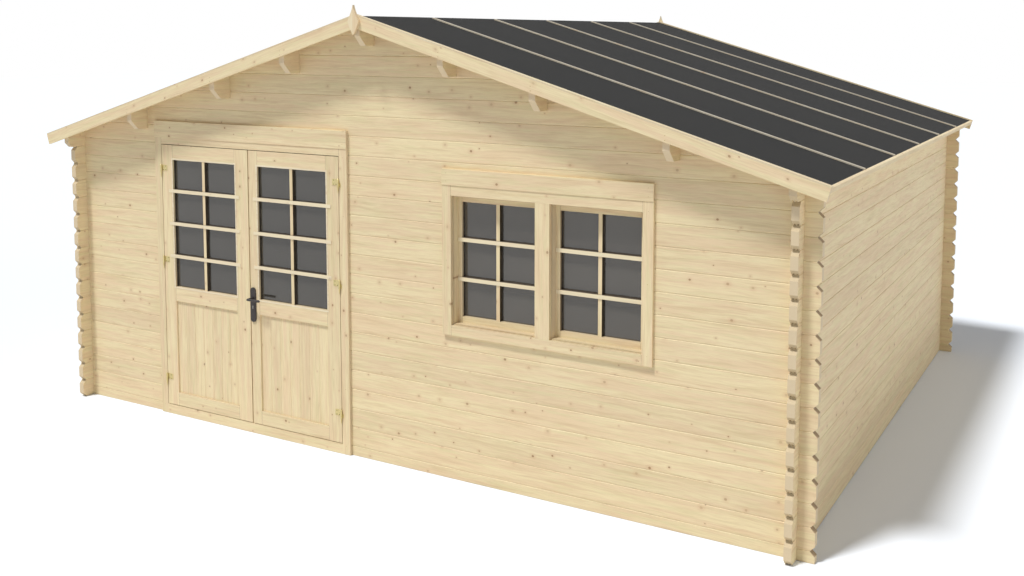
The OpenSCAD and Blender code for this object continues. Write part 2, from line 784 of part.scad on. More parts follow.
// Lever: spindle through the leaf, and on each face a neck and a grip with a round end
module door_lever() {
    mid = leaf_y + leaf_t / 2;
    reach = leaf_t / 2 + lever_reach;
    color(dark_metal) translate([handle_x, mid, lever_z]) {
        rotate([-90, 0, 0]) translate([0, 0, -leaf_t]) cylinder(h = 2 * leaf_t, r = spindle_r);
        for (side = [-1, 1]) mirror([0, side > 0 ? 1 : 0, 0]) {
            translate([0, -reach, 0]) rotate([-90, 0, 0]) cylinder(h = lever_reach - 2, r = grip_r);
            translate([0, -reach, 0]) sphere(r = grip_r);
            translate([0, -reach, 0]) rotate([0, 90, 0]) cylinder(h = grip_len - grip_r, r = grip_r);
            translate([grip_len - grip_r, -reach, 0]) sphere(r = grip_r);
        }
    }
}

front_wall_left();
front_wall_right();
front_gable();
back_wall();
back_gable();
left_wall();
right_wall();
left_wall_plate();
right_wall_plate();
ridge_purlin();
left_purlins();
right_purlins();
left_roof_boards();
right_roof_boards();
left_roof_felt();
right_roof_felt();
roof_battens();
verge_strips();
eave_trims();
front_barge_left();
front_barge_right();
back_barge_left();
back_barge_right();
front_finial();
back_finial();
door_jambs();
door_head();
door_threshold();
door_casing();
door_lintel_board();
window_frame();
window_casing();
window_lintel_board();
window_sashes();
window_glass();
left_leaf();
left_leaf_panel();
left_leaf_glass();
left_leaf_hinges();
right_leaf();
right_leaf_panel();
right_leaf_glass();
right_leaf_hinges();
hinge_pins();
handle_plates();
door_lever();
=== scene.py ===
"""Log cabin with a felted gable roof, a glazed double door and a twin window."""
import math

import bmesh
import bpy
from mathutils import Matrix, Vector


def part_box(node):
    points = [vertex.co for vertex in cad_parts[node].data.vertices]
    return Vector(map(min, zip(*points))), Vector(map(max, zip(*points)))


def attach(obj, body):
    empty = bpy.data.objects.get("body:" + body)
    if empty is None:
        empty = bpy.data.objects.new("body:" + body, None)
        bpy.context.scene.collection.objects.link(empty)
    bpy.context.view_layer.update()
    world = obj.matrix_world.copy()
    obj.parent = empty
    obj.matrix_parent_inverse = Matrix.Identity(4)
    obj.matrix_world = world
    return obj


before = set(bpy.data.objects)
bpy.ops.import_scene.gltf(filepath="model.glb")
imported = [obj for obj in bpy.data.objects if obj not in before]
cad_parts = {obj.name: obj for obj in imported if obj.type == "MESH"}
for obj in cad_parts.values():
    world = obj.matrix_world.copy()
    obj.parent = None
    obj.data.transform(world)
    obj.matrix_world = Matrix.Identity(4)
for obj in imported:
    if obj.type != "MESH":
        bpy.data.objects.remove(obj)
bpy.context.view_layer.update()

# Walls: spruce logs planed to one section, each lying on the two tongues of the log below.
# They run on past the corners, where the logs of two walls cross in half-lap notches.
# The front and back walls start on a half log, so their courses lie half a course higher.
LOG_COURSE = 0.134
HALF_LOG = LOG_COURSE / 2
X, Y, Z = 0, 1, 2
FAR_SIDE = 50.0  # added to a board's number on one side, so that two walls never show the same grain
SEAM_SHADE = (104, 80, 54)


def paint(red, green, blue):
    """A colour given as it looks on a screen, from 0 to 255, turned into the shader's linear one."""
    return tuple((part / 255) ** 2.2 for part in (red, green, blue)) + (1.0,)


def put(tree, kind, inputs=(), **options):
    """Adds a shader node, sets its options, and joins its inputs to sockets or sets their values."""
    node = tree.nodes.new("ShaderNode" + kind)
    for key, value in options.items():
        setattr(node, key, value)
    for key, value in dict(inputs).items():
        if isinstance(value, bpy.types.NodeSocket):
            tree.links.new(value, node.inputs[key])
        else:
            node.inputs[key].default_value = value
    return node


def calc(tree, operation, *values):
    """One step of arithmetic on sockets and numbers."""
    return put(tree, "Math", enumerate(values), operation=operation).outputs[0]


def ramp(tree, value, low, high, start=0.0, stop=1.0):
    """Goes smoothly from start to stop while the value goes from low to high."""
    inputs = {"Value": value, "From Min": low, "From Max": high, "To Min": start, "To Max": stop}
    return put(tree, "MapRange", inputs, interpolation_type="SMOOTHSTEP").outputs[0]


def cover(tree, share, under, over, way="MIX"):
    """Lays one colour over another by a share from 0 to 1."""
    inputs = {0: share, 6: under, 7: over}
    return put(tree, "Mix", inputs, data_type="RGBA", blend_type=way).outputs[2]


def choose(tree, share, low, high):
    """Takes the first number where the share is 0 and the second where it is 1."""
    return put(tree, "Mix", {0: share, 2: low, 3: high}).outputs[0]


def cloud(tree, place, detail=3.0):
    """Soft noise from 0 to 1 at a place given by three numbers."""
    spot = put(tree, "CombineXYZ", enumerate(place)).outputs[0]
    inputs = {"Vector": spot, "Scale": 1.0, "Detail": detail, "Roughness": 0.6}
    return put(tree, "TexNoise", inputs).outputs[0]


def boards_along(grain, across, first, pitch, side=None, fall=0.0, seam=0.0, tone=SEAM_SHADE,
                 share=0.75):
    """Boards that run along one axis and are counted along another, from a first place and by a pitch.

    A seam of a given width, tone and strength lies between them. side is the axis along which two
    like walls stand apart. fall is what a sloping board loses in height for each metre from the ridge.
    """
    def lay(tree, at, facing):
        through = X + Y + Z - grain - across
        over = at[across]
        if fall:
            over = calc(tree, "MULTIPLY_ADD", calc(tree, "ABSOLUTE", at[X]), fall, over)
        count = calc(tree, "DIVIDE", calc(tree, "SUBTRACT", over, first), pitch)
        number = calc(tree, "FLOOR", count)
        if side is not None:
            far = calc(tree, "GREATER_THAN", at[side], 0.0)
            number = calc(tree, "MULTIPLY_ADD", far, FAR_SIDE, number)
        marks = []
        if seam:
            place = calc(tree, "ABSOLUTE", calc(tree, "SUBTRACT", calc(tree, "FRACT", count), 0.5))
            marks = [(ramp(tree, place, 0.5 - seam / pitch, 0.5 - 0.3 * seam / pitch), tone, share)]
        return at[grain], over, at[through], number, calc(tree, "ABSOLUTE", facing[grain]), marks
    return lay


def spruce(name, lay, pale=(238, 222, 181), rosy=(234, 211, 174), straw=(227, 214, 170),
           deep=(204, 175, 134), end=(219, 201, 169), cut_shade=(202, 183, 149), knots=0.62, roughness=0.62):
    """Planed spruce: streaks of grain, a tint for each board, small knots, and rings on the ends.

    lay tells for each point how far it is along, over and through its board, the board's number,
    how squarely it faces along the grain, and the marks on it: where, in what colour, how strong.
    """
    material = bpy.data.materials.new(name)
    material.use_nodes = True
    tree = material.node_tree
    shader = tree.nodes["Principled BSDF"]
    surface = put(tree, "TexCoord")
    at = put(tree, "SeparateXYZ", {0: surface.outputs["Object"]}).outputs
    facing = put(tree, "SeparateXYZ", {0: surface.outputs["Normal"]}).outputs
    along, over, through, number, endwise, marks = lay(tree, at, facing)

    # Each board is cut from another place in the tree, and its streaks wander a little
    forest, wander = 37.0, 0.05
    luck = put(tree, "TexWhiteNoise", {"W": number}, noise_dimensions="1D").outputs[0]
    start = calc(tree, "MULTIPLY_ADD", luck, forest, along)
    drift = cloud(tree, (calc(tree, "MULTIPLY", start, 1.3), calc(tree, "MULTIPLY", over, 5.0), luck))
    over_here = calc(tree, "MULTIPLY_ADD", drift, wander, over)

    def streaks(length, width, detail=3.0):
        place = (calc(tree, "DIVIDE", start, length), calc(tree, "DIVIDE", over_here, width),
                 calc(tree, "DIVIDE", through, width))
        return cloud(tree, place, detail)

    tint = ramp(tree, streaks(0.6, 0.05), 0.38, 0.62)
    sap = ramp(tree, streaks(0.4, 0.036), 0.50, 0.68)
    broad = ramp(tree, streaks(0.42, 0.020), 0.47, 0.72)
    fine = ramp(tree, streaks(0.11, 0.0042, 2.0), 0.40, 0.70)
    colour = cover(tree, tint, paint(*pale), paint(*rosy))
    colour = cover(tree, calc(tree, "MULTIPLY", sap, 0.7), colour, paint(*straw))
    colour = cover(tree, calc(tree, "MULTIPLY", broad, 0.36), colour, paint(*deep))
    colour = cover(tree, calc(tree, "MULTIPLY", fine, 0.26), colour, paint(*deep))
    colour = cover(tree, 1.0, colour, ramp(tree, luck, 0.0, 1.0, 0.94, 1.0), "MULTIPLY")

    # Knots go right through a board: small soft brown ones, with the grain darker round them
    spread, stretch, stagger = 6.8, 0.85, 0.37
    smallest, largest = 0.0035, 0.0090
    knot_place = put(tree, "CombineXYZ", {0: calc(tree, "MULTIPLY", start, stretch),
                                          1: calc(tree, "MULTIPLY_ADD", number, stagger, over)})
    knot = put(tree, "TexVoronoi", {"Vector": knot_place.outputs[0], "Scale": spread},
               voronoi_dimensions="2D")
    kind = put(tree, "SeparateColor", {0: knot.outputs["Color"]}).outputs
    size = ramp(tree, kind[0], 0.0, 1.0, smallest, largest)
    reach = calc(tree, "DIVIDE", calc(tree, "DIVIDE", knot.outputs["Distance"], spread), size)
    present = calc(tree, "LESS_THAN", kind[1], knots)
    heart = calc(tree, "MULTIPLY", ramp(tree, reach, 1.15, 0.55), present)
    halo = calc(tree, "MULTIPLY", ramp(tree, reach, 3.6, 0.8), present)
    strength = ramp(tree, kind[2], 0.2, 1.0, 0.22, 0.80)
    colour = cover(tree, calc(tree, "MULTIPLY", halo, 0.30), colour, paint(208, 172, 136))
    colour = cover(tree, calc(tree, "MULTIPLY", heart, strength), colour, paint(148, 113, 82))

    # End grain: yearly rings about a heart that lies beside the board. Slanting cut faces take a darker
    # tone: painted shade that tones down their lit slopes and darkens the notches between log ends.
    ring_width, heart_away, heart_shift = 0.0034, 0.3, 0.2
    turn = calc(tree, "ADD", calc(tree, "POWER", calc(tree, "ADD", over_here, heart_away), 2.0),
                calc(tree, "POWER", calc(tree, "MULTIPLY_ADD", luck, heart_shift, through), 2.0))
    rings = calc(tree, "SINE", calc(tree, "DIVIDE", calc(tree, "SQRT", turn), ring_width / math.tau))
    ends = cover(tree, ramp(tree, rings, -0.2, 1.0, 0.0, 0.35), paint(*end), paint(200, 174, 136))
    ends = cover(tree, ramp(tree, endwise, 0.97, 0.88), ends, paint(*cut_shade))
    colour = cover(tree, ramp(tree, endwise, 0.45, 0.60), colour, ends)
    for place, tone, share in marks:
        colour = cover(tree, calc(tree, "MULTIPLY", place, share), colour, paint(*tone))

    # The soft grain and the knots lie a little deeper than the rest
    grain_depth = 0.0004
    relief = calc(tree, "SUBTRACT", calc(tree, "MULTIPLY", fine, 0.6),
                  calc(tree, "MULTIPLY", heart, 0.8))
    bump = put(tree, "Bump", {"Strength": 0.5, "Distance": grain_depth, "Height": relief})
    gloss = ramp(tree, fine, 0.0, 1.0, roughness - 0.06, roughness + 0.08)
    for socket, value in {"Base Color": colour, "Roughness": gloss, "Normal": bump.outputs[0]}.items():
        tree.links.new(value, shader.inputs[socket])
    shader.inputs["Specular IOR Level"].default_value = 0.3
    return material


def dress(material, *names):
    """Gives CAD nodes their finish."""
    for name in names:
        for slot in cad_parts[name].material_slots:
            slot.material = material


LOG_CHAMFER = 0.005
GROOVE_LIGHT = (255, 246, 216)  # painted light: the bevelled grooves between boards are painted paler, which lifts the shade in them
BELOW_GROUND = 20  # the side walls' courses are counted from this far down, so no number comes twice
# The slanting cuts at the front and back logs' ends are painted dark: painted shade for the notches
# between the log ends.
dress(spruce("front_and_back_logs", boards_along(X, Z, HALF_LOG, LOG_COURSE, side=Y, seam=LOG_CHAMFER,
                                                 tone=GROOVE_LIGHT, share=0.25), cut_shade=(166, 142, 110)),
      "front_wall_left", "front_wall_right", "front_gable", "back_wall", "back_gable")
dress(spruce("side_logs", boards_along(Y, Z, -BELOW_GROUND * LOG_COURSE, LOG_COURSE, side=X,
                                       seam=LOG_CHAMFER, tone=GROOVE_LIGHT, share=0.1), knots=0.34),
      "left_wall", "right_wall", "left_wall_plate", "right_wall_plate")

# Purlins: seven solid spruce beams from gable to gable, let into slots in the end walls.
# Their lower end corners are cut off, and the bargeboards are screwed to their ends.
PURLIN_PITCH = 0.3  # strips of this width tell the beams apart
dress(spruce("purlin_spruce", boards_along(Y, X, -PURLIN_PITCH / 2, PURLIN_PITCH),
             end=(228, 209, 178), cut_shade=(222, 204, 172)), "ridge_purlin", "left_purlins", "right_purlins")

# Roof boards: tongued and grooved spruce boards from the ridge down to the eave, nailed to the purlins.
# From below they show as narrow boards with a fine seam between them.
ROOF_BOARD = 0.088
ROOF_SEAM = 0.002
ROOF_SLOPE = math.radians(16.5)
ROOF_RISE = math.tan(ROOF_SLOPE)
roof_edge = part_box("right_roof_boards")[0].y
dress(spruce("roof_boards", boards_along(X, Y, roof_edge, ROOF_BOARD, side=X, seam=ROOF_SEAM),
             roughness=0.68), "left_roof_boards", "right_roof_boards")

# Roofing felt: bitumen felt with a dark mineral surface, laid in strips from the ridge to the eave.
# The strips lap under the battens, so what shows is a dull grain of slate chips.
CHIPS_PER_METRE = 420.0


def roofing_felt(name):
    """Bitumen felt with a surface of fine slate chips."""
    material = bpy.data.materials.new(name)
    material.use_nodes = True
    tree = material.node_tree
    shader = tree.nodes["Principled BSDF"]
    place = put(tree, "TexCoord").outputs["Object"]
    chips = put(tree, "TexVoronoi", {"Vector": place, "Scale": CHIPS_PER_METRE},
                voronoi_dimensions="3D")
    chip = put(tree, "SeparateColor", {0: chips.outputs["Color"]}).outputs[0]
    patch = put(tree, "TexNoise", {"Vector": place, "Scale": 2.2, "Detail": 4.0}).outputs[0]
    colour = cover(tree, ramp(tree, chip, 0.0, 1.0), paint(25, 25, 25), paint(42, 42, 41))
    colour = cover(tree, ramp(tree, patch, 0.35, 0.7, 0.0, 0.22), colour, paint(45, 44, 42))
    bump = put(tree, "Bump", {"Strength": 0.6, "Distance": 0.0006, "Height": chip})
    tree.links.new(colour, shader.inputs["Base Color"])
    tree.links.new(ramp(tree, chip, 0.0, 1.0, 0.72, 0.92), shader.inputs["Roughness"])
    tree.links.new(bump.outputs[0], shader.inputs["Normal"])
    shader.inputs["Specular IOR Level"].default_value = 0.18
    return material


dress(roofing_felt("slate_chip_felt"), "left_roof_felt", "right_roof_felt")

# Felt battens: ten thin spruce laths that hold the felt down, nailed through to the boards.
# The nails have flat galvanised heads, one about every third of a metre.
BATTEN_STRIP = 0.8  # strips of this width tell the battens apart
dress(spruce("batten_spruce", boards_along(X, Y, BATTEN_STRIP / 2, BATTEN_STRIP, side=X),
             pale=(200, 193, 177), rosy=(191, 182, 165), straw=(193, 187, 169), knots=0.4),
      "roof_battens")
BATTENS = 5
BATTEN_WIDTH = 0.026
FIRST_NAIL = 0.12
BATTEN_NAIL_STEP = 0.34
LAST_NAIL = 0.02
NAIL_HEAD = 0.0045
NAIL_RISE = 0.0012


def worn_metal(name, colour, roughness, shade=0.8, metallic=1.0):
    """Metal whose brightness and gloss vary softly over it, as handling and weather leave it."""
    material = bpy.data.materials.new(name)
    material.use_nodes = True
    tree = material.node_tree
    shader = tree.nodes["Principled BSDF"]
    place = put(tree, "TexCoord").outputs["Object"]
    patch = put(tree, "TexNoise", {"Vector": place, "Scale": 60.0, "Detail": 4.0}).outputs[0]
    dull = tuple(part * shade for part in paint(*colour)[:3]) + (1.0,)
    tone = cover(tree, ramp(tree, patch, 0.35, 0.7), paint(*colour), dull)
    tree.links.new(tone, shader.inputs["Base Color"])
    gloss = ramp(tree, patch, 0.3, 0.7, roughness, roughness + 0.12)
    tree.links.new(gloss, shader.inputs["Roughness"])
    shader.inputs["Metallic"].default_value = metallic
    return material


def finish_piece(name, shape, material, body):
    """Makes an object of a finished mesh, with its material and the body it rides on."""
    mesh = bpy.data.meshes.new(name)
    shape.to_mesh(mesh)
    shape.free()
    mesh.materials.append(material)
    piece = bpy.data.objects.new(name, mesh)
    bpy.context.scene.collection.objects.link(piece)
    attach(piece, body)


def nail_head(shape, place, out, radius, rise):
    """A flat round head whose rim is rounded, standing out of a surface along a direction."""
    turn = Vector((0, 0, 1)).rotation_difference(Vector(out)).to_matrix().to_4x4()
    stand = Matrix.Translation(Vector(place) + Vector(out) * rise / 2) @ turn
    bmesh.ops.create_cone(shape, cap_ends=True, segments=12, radius1=radius,
                          radius2=radius * 0.8, depth=rise, matrix=stand)


galvanised = worn_metal("galvanised_steel", (178, 180, 182), 0.42)
batten_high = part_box("roof_battens")[1]
slope_out = Vector((math.sin(ROOF_SLOPE), 0, math.cos(ROOF_SLOPE)))
roof_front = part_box("front_barge_left")[0].y
batten_step = -2 * roof_front / (BATTENS + 1)
slope_reach = batten_high.x / slope_out.z
nails = bmesh.new()
for side in (-1, 1):
    for batten in range(1, BATTENS + 1):
        for step in range(int(slope_reach / BATTEN_NAIL_STEP) + 1):
            down = FIRST_NAIL + step * BATTEN_NAIL_STEP
            if down > slope_reach - LAST_NAIL:
                continue
            x = down * slope_out.z
            z = batten_high.z - (x - BATTEN_WIDTH * slope_out.z) * ROOF_RISE
            nail_head(nails, (side * x, roof_front + batten * batten_step, z),
                      (side * slope_out.x, 0, slope_out.z), NAIL_HEAD, NAIL_RISE)
finish_piece("batten_nails", nails, galvanised, "cabin")

# Bargeboards, cover strips and finials: planed spruce boards that close the roof's edges.
# A bargeboard is screwed to the purlins' ends, two screws to each, one above the other.
# A strip on the felt laps over its top edge.
ONE_BOARD = 9.0  # a pitch wider than the cabin, so that each side is a single board
ABOVE_ROOF = 4.0  # counted from here, the cover strips show other grain than the bargeboards
dress(spruce("bargeboard_spruce", boards_along(X, Z, 0.0, ONE_BOARD, side=X, fall=ROOF_RISE)),
      "front_barge_left", "front_barge_right", "back_barge_left", "back_barge_right")
# The cover strips take a little darker tones: painted shade that tones down the sun on their top faces.
dress(spruce("cover_strip_spruce", boards_along(X, Z, ABOVE_ROOF, ONE_BOARD, side=X, fall=ROOF_RISE),
             pale=(228, 214, 182), rosy=(223, 205, 172)), "verge_strips")
# The eave trims take a little darker tones: painted shade, so that they look as shaded as the top log
# under the eaves.
dress(spruce("eave_trim_spruce", boards_along(Y, Z, 0.0, ONE_BOARD, side=X), pale=(228, 212, 176),
             rosy=(222, 203, 168), straw=(218, 205, 166)), "eave_trims")
dress(spruce("finial_spruce", boards_along(Z, X, -ONE_BOARD / 2, ONE_BOARD, side=Y),
             pale=(240, 226, 192)), "front_finial", "back_finial")
PURLIN_PLACES = (0.640, 1.290, 2.140)
BARGE_SCREWS = (0.016, 0.042)  # how far they lie below the purlin's top
BARGE_SCREW_HEAD = 0.003
SCREW_RISE = 0.0006
barge_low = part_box("front_barge_right")[0]
purlin_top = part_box("ridge_purlin")[1].z
yellow_zinc = worn_metal("yellow_zinc", (206, 184, 136), 0.5)
screws = bmesh.new()
for end in (-1, 1):
    for side in (-1, 1):
        for x in PURLIN_PLACES:
            for below in BARGE_SCREWS:
                z = purlin_top - x * ROOF_RISE - below / slope_out.z
                nail_head(screws, (side * x, -end * barge_low.y, z), (0, end, 0), BARGE_SCREW_HEAD,
                          SCREW_RISE)
finish_piece("barge_screws", screws, yellow_zinc, "cabin")

# Doorway: jambs, head and threshold of solid spruce, with casing boards nailed round them outside.
# A wider lintel board lies over the casing, and the window has one like it.
JAMB_STRIP = 0.2  # strips of these widths tell the boards apart
LYING_STRIP = 0.12
dress(spruce("upright_joinery", boards_along(Z, X, 0.0, JAMB_STRIP)), "door_jambs")
dress(spruce("lying_joinery", boards_along(X, Z, 0.0, LYING_STRIP)),
      "door_head", "door_threshold", "door_lintel_board", "window_lintel_board")

# Painted shade for upward ledges, and a painted highlight for bars that stand out before the face.
LEDGE_SHADE = (190, 170, 138)
PROUD_BAR_HIGHLIGHT = (242, 233, 208)
JOINT_AWAY = 0.001  # a joint's middle lies this far beside the upright
JOINT_HALF = 0.0008
SEAM_HALF = 0.004
FACE_PLAY = 0.0004
ROWS_PER_METRE = 6.0  # rails in different rows show different grain
RAIL_NUMBERS = 20.0


def joined_boards(*uprights, face=None, seam=None):
    """Uprights between pairs of places along X, and rails between them, with a fine line at each joint.

    A glazing bar has three more numbers: its bottom, its top, and where its front lies along Y.
    Bars that stand out before the face are painted paler as a highlight, and upward ledges are painted
    a little darker as shade.
    A seam lies at the depth along Y where casing boards meet the piece.
    """
    def lay(tree, at, facing):
        standing, joint, index = 0.0, 0.0, 0.0
        for left, right, *limits in uprights:
            here = calc(tree, "COMPARE", at[X], (left + right) / 2, (right - left) / 2)
            if limits:
                bottom, top, front = limits
                tall = calc(tree, "COMPARE", at[Z], (bottom + top) / 2, (top - bottom) / 2)
                behind = calc(tree, "GREATER_THAN", at[Y], front - FACE_PLAY)
                here = calc(tree, "MULTIPLY", here, calc(tree, "MULTIPLY", tall, behind))
            standing = calc(tree, "MAXIMUM", standing, here)
            index = calc(tree, "MULTIPLY_ADD", here, 1.0 + left, index)
            if not limits:
                for edge in (left - JOINT_AWAY, right + JOINT_AWAY):
                    joint = calc(tree, "MAXIMUM", joint,
                                 calc(tree, "COMPARE", at[X], edge, JOINT_HALF))
        marks = [(joint, SEAM_SHADE, 0.6)]
        if face is not None:
            # Bars that stand out before the face are painted paler: a painted highlight.
            proud = calc(tree, "LESS_THAN", at[Y], face - FACE_PLAY)
            level = calc(tree, "SUBTRACT", 1.0, proud)
            standing = calc(tree, "MULTIPLY", standing, level)
            marks = [(calc(tree, "MULTIPLY", joint, level), SEAM_SHADE, 0.6), (proud, PROUD_BAR_HIGHLIGHT, 0.45)]
        # Upward faces are painted darker: painted shade that tones down the sun on them.
        marks.append((ramp(tree, facing[Z], 0.7, 0.95), LEDGE_SHADE, 0.55))
        if seam is not None:
            marks.append((calc(tree, "COMPARE", at[Y], seam + SEAM_HALF, SEAM_HALF), SEAM_SHADE, 0.25))
        row = calc(tree, "FLOOR", calc(tree, "MULTIPLY", at[Z], ROWS_PER_METRE))
        number = choose(tree, standing, calc(tree, "ADD", row, RAIL_NUMBERS), index)
        along = choose(tree, standing, at[X], at[Z])
        over = choose(tree, standing, at[Z], at[X])
        endwise = calc(tree, "ABSOLUTE", choose(tree, standing, facing[X], facing[Z]))
        return along, over, at[Y], number, endwise, marks
    return lay


CASING_WIDTH = 0.066
casing_low, casing_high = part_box("door_casing")
dress(spruce("door_casing_spruce", joined_boards((casing_low.x, casing_low.x + CASING_WIDTH),
                                                 (casing_high.x - CASING_WIDTH, casing_high.x))),
      "door_casing")
CASING_NAIL = 0.0022
CASING_NAIL_RISE = 0.0005
CASING_NAIL_STEP = 0.42
CASING_NAIL_END = 0.06
LINTEL_NAILS = (0.25, 0.75)  # heights, as shares of the lintel board's height


def nail_casing(shape, low, high, lintel):
    """Nails along both upright casing boards, and a pair at each end of the lintel board."""
    steps = round((high.z - low.z) / CASING_NAIL_STEP)
    lintel_low, lintel_high = lintel
    for x in (low.x + CASING_WIDTH / 2, high.x - CASING_WIDTH / 2):
        for step in range(steps + 1):
            z = low.z + CASING_NAIL_END + (high.z - low.z - 2 * CASING_NAIL_END) * step / steps
            nail_head(shape, (x, low.y, z), (0, -1, 0), CASING_NAIL, CASING_NAIL_RISE)
        for share in LINTEL_NAILS:
            z = lintel_low.z + (lintel_high.z - lintel_low.z) * share
            nail_head(shape, (x, lintel_low.y, z), (0, -1, 0), CASING_NAIL, CASING_NAIL_RISE)


nails = bmesh.new()
nail_casing(nails, casing_low, casing_high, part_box("door_lintel_board"))
finish_piece("door_casing_nails", nails, yellow_zinc, "cabin")

# Window: a lined opening with a post in the middle, casing boards outside and two glazed sashes.
# Each sash has a frame of stiles and rails with glazing bars, one upright and two across.
# A dark seal lies behind the bars and round the inner edges, and holds the glass. Its dark brown is
# painted shade for the shadow beside the bars and along the panes' edges.
SASH_STILE = 0.030
POST_WIDTH = 0.114
LINING = 0.028
BAR_WIDTH = 0.025
BAR_SET = 0.002  # how far the upright bar's front lies behind the sash's face
BAR_PROUD = 0.004  # how far the bars across stand out before it
SHADE_SEAL = 0.0012
SHADE_SEAL_DEPTH = 0.009
SHADE_SEAL_BEHIND_UPRIGHT = 0.0015
SHADE_SEAL_BEHIND_ACROSS = 0.0025
WINDOW_ROWS = 3
lining_low, lining_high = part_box("window_frame")
casing_low, casing_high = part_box("window_casing")
post_middle = (lining_low.x + lining_high.x) / 2
dress(spruce("window_lining_spruce", joined_boards(
    (lining_low.x, lining_low.x + LINING), (post_middle - POST_WIDTH / 2, post_middle + POST_WIDTH / 2),
    (lining_high.x - LINING, lining_high.x), seam=casing_high.y)), "window_frame")
dress(spruce("window_casing_spruce", joined_boards((casing_low.x, casing_low.x + CASING_WIDTH),
                                                   (casing_high.x - CASING_WIDTH, casing_high.x))),
      "window_casing")
nails = bmesh.new()
nail_casing(nails, casing_low, casing_high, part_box("window_lintel_board"))
finish_piece("window_casing_nails", nails, yellow_zinc, "cabin")


def block(shape, low, high):
    """A box between two corners, added to a mesh."""
    low, high = Vector(low), Vector(high)
    place = Matrix.Translation((low + high) / 2) @ Matrix.Diagonal((*(high - low), 1.0))
    return bmesh.ops.create_cube(shape, size=1.0, matrix=place)["verts"]


def shade_seal_opening(shape, left, right, bottom, top, rows, face, glass):
    """Dark seals of one glazed opening, before the glass along its edges and behind the bars: painted
    shade beside the bars and edges.
    """
    for x in (left, right - SHADE_SEAL):
        block(shape, (x, glass - SHADE_SEAL_DEPTH, bottom), (x + SHADE_SEAL, glass, top))
    block(shape, (left, glass - SHADE_SEAL_DEPTH, top - SHADE_SEAL), (right, glass, top))
    middle = (left + right) / 2
    half = BAR_WIDTH / 2 + SHADE_SEAL / 2
    block(shape, (middle - half, face + BAR_SET + SHADE_SEAL_BEHIND_UPRIGHT, bottom),
          (middle + half, glass, top))
    pane_height = (top - bottom - (rows - 1) * BAR_WIDTH) / rows
    for row in range(1, rows):
        z = bottom + row * (pane_height + BAR_WIDTH) - BAR_WIDTH / 2
        block(shape, (left, face - BAR_PROUD + SHADE_SEAL_BEHIND_ACROSS, z - half), (right, glass, z + half))


def shade_seal_rubber(name):
    """Dark brown sealing strip, a little dusty; the dark brown is painted shade."""
    material = bpy.data.materials.new(name)
    material.use_nodes = True
    tree = material.node_tree
    shader = tree.nodes["Principled BSDF"]
    place = put(tree, "TexCoord").outputs["Object"]
    dust = put(tree, "TexNoise", {"Vector": place, "Scale": 35.0, "Detail": 3.0}).outputs[0]
    dusty = ramp(tree, dust, 0.35, 0.7)
    colour = cover(tree, dusty, paint(62, 50, 36), paint(78, 65, 49))
    tree.links.new(colour, shader.inputs["Base Color"])
    tree.links.new(ramp(tree, dust, 0.3, 0.7, 0.6, 0.75), shader.inputs["Roughness"])
    return material


shade_seal_brown = shade_seal_rubber("shade_seal_brown")
sash_low, sash_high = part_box("window_sashes")
window_glass_low, window_glass_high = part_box("window_glass")
sash_face = sash_low.y + BAR_PROUD
sash_width = (sash_high.x - sash_low.x - POST_WIDTH) / 2
sash_uprights = []
shade_seals = bmesh.new()
for left in (sash_low.x, sash_high.x - sash_width):
    right = left + sash_width
    middle = (left + right) / 2
    sash_uprights += [(left, left + SASH_STILE), (right - SASH_STILE, right),
                      (middle - BAR_WIDTH / 2, middle + BAR_WIDTH / 2, window_glass_low.z,
                       window_glass_high.z, sash_face + BAR_SET)]
    shade_seal_opening(shade_seals, left + SASH_STILE, right - SASH_STILE, window_glass_low.z, window_glass_high.z,
                 WINDOW_ROWS, sash_face, window_glass_low.y)
dress(spruce("sash_spruce", joined_boards(*sash_uprights, face=sash_face), knots=0.3), "window_sashes")
finish_piece("window_shade_seals", shade_seals, shade_seal_brown, "cabin")

PANE_CLEAR = 0.3
PANE_INDEX = 2.0


def pane(name, tone):
    """Clear glass with a painted grey sheen that stands for the dark room behind it; the glass also
    mirrors its bright surroundings.
    """
    material = bpy.data.materials.new(name)
    material.use_nodes = True
    tree = material.node_tree
    shader = tree.nodes["Principled BSDF"]
    place = put(tree, "TexCoord").outputs["Object"]
    haze = put(tree, "TexNoise", {"Vector": place, "Scale": 1.6, "Detail": 2.0}).outputs[0]
    deep = tuple(part * 0.9 for part in paint(*tone)[:3]) + (1.0,)
    colour = cover(tree, ramp(tree, haze, 0.35, 0.65), deep, paint(*tone))
    tree.links.new(colour, shader.inputs["Base Color"])
    tree.links.new(ramp(tree, haze, 0.3, 0.7, 0.04, 0.08), shader.inputs["Roughness"])
    shader.inputs["IOR"].default_value = PANE_INDEX
    shader.inputs["Alpha"].default_value = 1.0 - PANE_CLEAR
    return material


# The window panes' grey is painted, for the dim room behind them.
dress(pane("window_pane", (92, 88, 82)), "window_glass")

